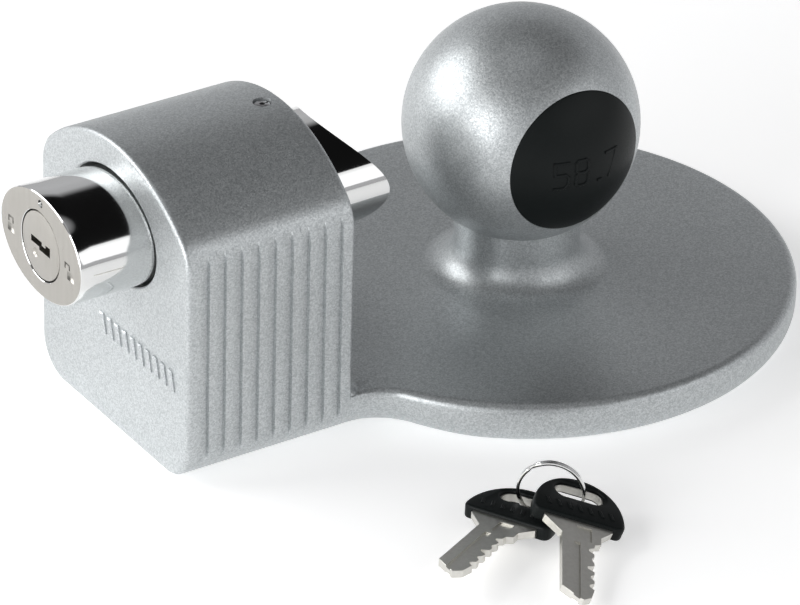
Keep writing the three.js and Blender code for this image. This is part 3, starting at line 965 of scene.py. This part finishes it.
def grip_bars():
    """Short slanted ridges along the straight edge of the key's head, on both sides."""
    bars = []
    row_x = 3.6
    pitch = 2.6
    lean = 0.35
    layers = ((HEAD_HALF_T - 0.3, 0.0), (HEAD_HALF_T + 0.12, 0.0), (HEAD_HALF_T + 0.24, 0.18))
    for face in (-1, 1):
        for i in range(7):
            y = (i - 3) * pitch
            rings = []
            for height, tight in layers:
                w = 0.45 - tight
                h = 1.15 - tight
                corners = [(-h, -w - lean), (h, -w + lean), (h, w + lean), (-h, w - lean)]
                rings.append(np.array([(row_x + cx, y + cy, face * height) for cx, cy in corners]))
            bars.append(lofted("bar", rings))
    return bars


def key_piece(number, key):
    """One key: a moulded head with grip ridges, and a stamped blade with milled grooves."""
    place = key_matrix(key)
    head_hole = slot_outline(6.1, 2.6, HOLE_X)
    head = curve_solid("head", [head_outline(), head_hole], HEAD_HALF_T, 0.75)
    head = joined(f"key_{number}_head_finish", [head] + grip_bars())
    head.data.transform(place)
    dress(head, BLACK, f"key_{number}", "black_plastic", f"key_{number}_head")
    blade_hole = slot_outline(5.7, 2.2, HOLE_X)
    blade = curve_solid(f"key_{number}_blade_finish", [blade_outline(), blade_hole], KEY_HALF_T, 0.12)
    tools = []
    for face in (-1, 1):
        z = sorted((face * (KEY_HALF_T - 0.45), face * 3))
        tools.append(block_tool((15.0, -1.2, z[0]), (KEY_TIP + 2, 0.4, z[1])))
        tools.append(block_tool((8.9, -0.4, z[0]), (13.9, 3.2, z[1])))
    cut(blade, tools)
    blade.data.shade_flat()
    blade.data.transform(place)
    dress(blade, KEY_NICKEL, f"key_{number}", "nickel", f"key_{number}_blade")


def ring_piece():
    """Split ring: two coils of flat wire side by side, with a short crossing."""
    steps = 260
    half_r = 0.42
    half_w = 0.34
    section = 10
    rings = []
    for i in range(steps + 1):
        t = 2 * TURN * i / steps
        cross = min(max((t - TURN + 0.3) / 0.6, 0), 1)
        side = -0.375 + 0.75 * cross * cross * (3 - 2 * cross)
        ends = min(i, steps - i) / 3
        size = min(1.0, 0.35 + 0.65 * ends)
        ring = []
        for k in range(section):
            a = TURN * k / section
            r = RING_R + half_r * size * math.copysign(abs(math.cos(a)) ** 0.6, math.cos(a))
            w = side + half_w * size * math.copysign(abs(math.sin(a)) ** 0.6, math.sin(a))
            ring.append((r * math.cos(t + 2.2), w, r * math.sin(t + 2.2)))
        rings.append(np.array(ring))
    obj = lofted("key_ring_finish", rings, sharp_angle=50)
    turn = Matrix.Translation(Vector(RING_POS) * MM) @ Matrix.Rotation(math.radians(RING_YAW), 4, "Z")
    obj.data.transform(turn)
    dress(obj, CHROME, "ring", "chrome", "key_ring")


# ---------- hidden pieces keep the frame's own shapes ----------
def paint_node(node, material):
    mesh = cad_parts[node].data
    mesh.materials.clear()
    mesh.materials.append(material)


def inner_pieces():
    for i in range(1, 6):
        paint_node(f"wafer_{i}", BRASS)
        paint_node(f"wafer_spring_{i}", STEEL)
    paint_node("lock_cam", STEEL)
    paint_node("plug_retaining_screw", STEEL)


# ---------- set ----------
def floor_piece():
    side = 4.0
    low, high = cad_box
    corners = [(-side, -side, 0), (side, -side, 0), (side, side, 0), (-side, side, 0)]
    mesh = bpy.data.meshes.new("floor")
    mesh.from_pydata([(x, y, low.z - 0.0002) for x, y, z in corners], [], [(0, 1, 2, 3)])
    obj = bpy.data.objects.new("floor", mesh)
    bpy.context.scene.collection.objects.link(obj)
    mesh.materials.append(floor_white())


def soft_box(name, place, target, size, power):
    light = bpy.data.lights.new(name, "AREA")
    light.shape = "RECTANGLE"
    light.size, light.size_y = size
    light.energy = power
    obj = bpy.data.objects.new(name, light)
    bpy.context.scene.collection.objects.link(obj)
    obj.location = place
    aim = Vector(target) - Vector(place)
    obj.rotation_euler = aim.to_track_quat("-Z", "Y").to_euler()


def studio_light():
    """Three soft boxes, and a room that is bright near the horizon and dark above."""
    centre = (-0.03, 0, 0.03)
    soft_box("left_box", (-0.95, 0.85, 0.7), centre, (1.1, 0.8), 12.5)
    soft_box("front_box", (0.62, -0.98, 0.58), centre, (1.2, 0.7), 2.4)
    soft_box("side_box", (-1.3, -0.3, 0.4), centre, (0.8, 0.8), 9.5)
    world = bpy.data.worlds.new("studio")
    bpy.context.scene.world = world
    world.use_nodes = True
    tree = world.node_tree
    where = tree.nodes.new("ShaderNodeTexCoord")
    split = tree.nodes.new("ShaderNodeSeparateXYZ")
    tree.links.new(where.outputs["Generated"], split.inputs["Vector"])
    bands = tree.nodes.new("ShaderNodeValToRGB")
    tree.links.new(split.outputs["Z"], bands.inputs["Fac"])
    stops = [(0.0, 0.5), (0.36, 0.56), (0.54, 0.5), (0.65, 0.008), (0.93, 0.006), (1.0, 0.5)]
    while len(bands.color_ramp.elements) < len(stops):
        bands.color_ramp.elements.new(0.5)
    for element, (place, level) in zip(bands.color_ramp.elements, stops):
        element.position = place
        element.color = (level, level, level * 1.02, 1)
    background = tree.nodes["Background"]
    background.inputs["Strength"].default_value = 1.0
    tree.links.new(bands.outputs["Color"], background.inputs["Color"])


def camera():
    lens = bpy.data.cameras.new("camera")
    lens.sensor_width = 36
    lens.lens = 280.2
    obj = bpy.data.objects.new("camera", lens)
    bpy.context.scene.collection.objects.link(obj)
    place = Vector((-0.7678, -1.1027, 0.7778))
    right = Vector((0.83954, -0.54283, 0.02252))
    up = Vector((0.25602, 0.43184, 0.86485))
    back = right.cross(up)
    turn = Matrix((right, up, back)).transposed().to_4x4()
    obj.matrix_world = Matrix.Translation(place) @ turn
    bpy.context.scene.camera = obj


camera()
studio_light()
bpy.context.scene.view_settings.view_transform = "Standard"
floor_piece()
base_piece()
ball_piece()
cap_piece()
pin_piece()
bolt_piece()
plug_piece()
for key_number, key_place in KEYS.items():
    key_piece(key_number, key_place)
ring_piece()
inner_pieces()
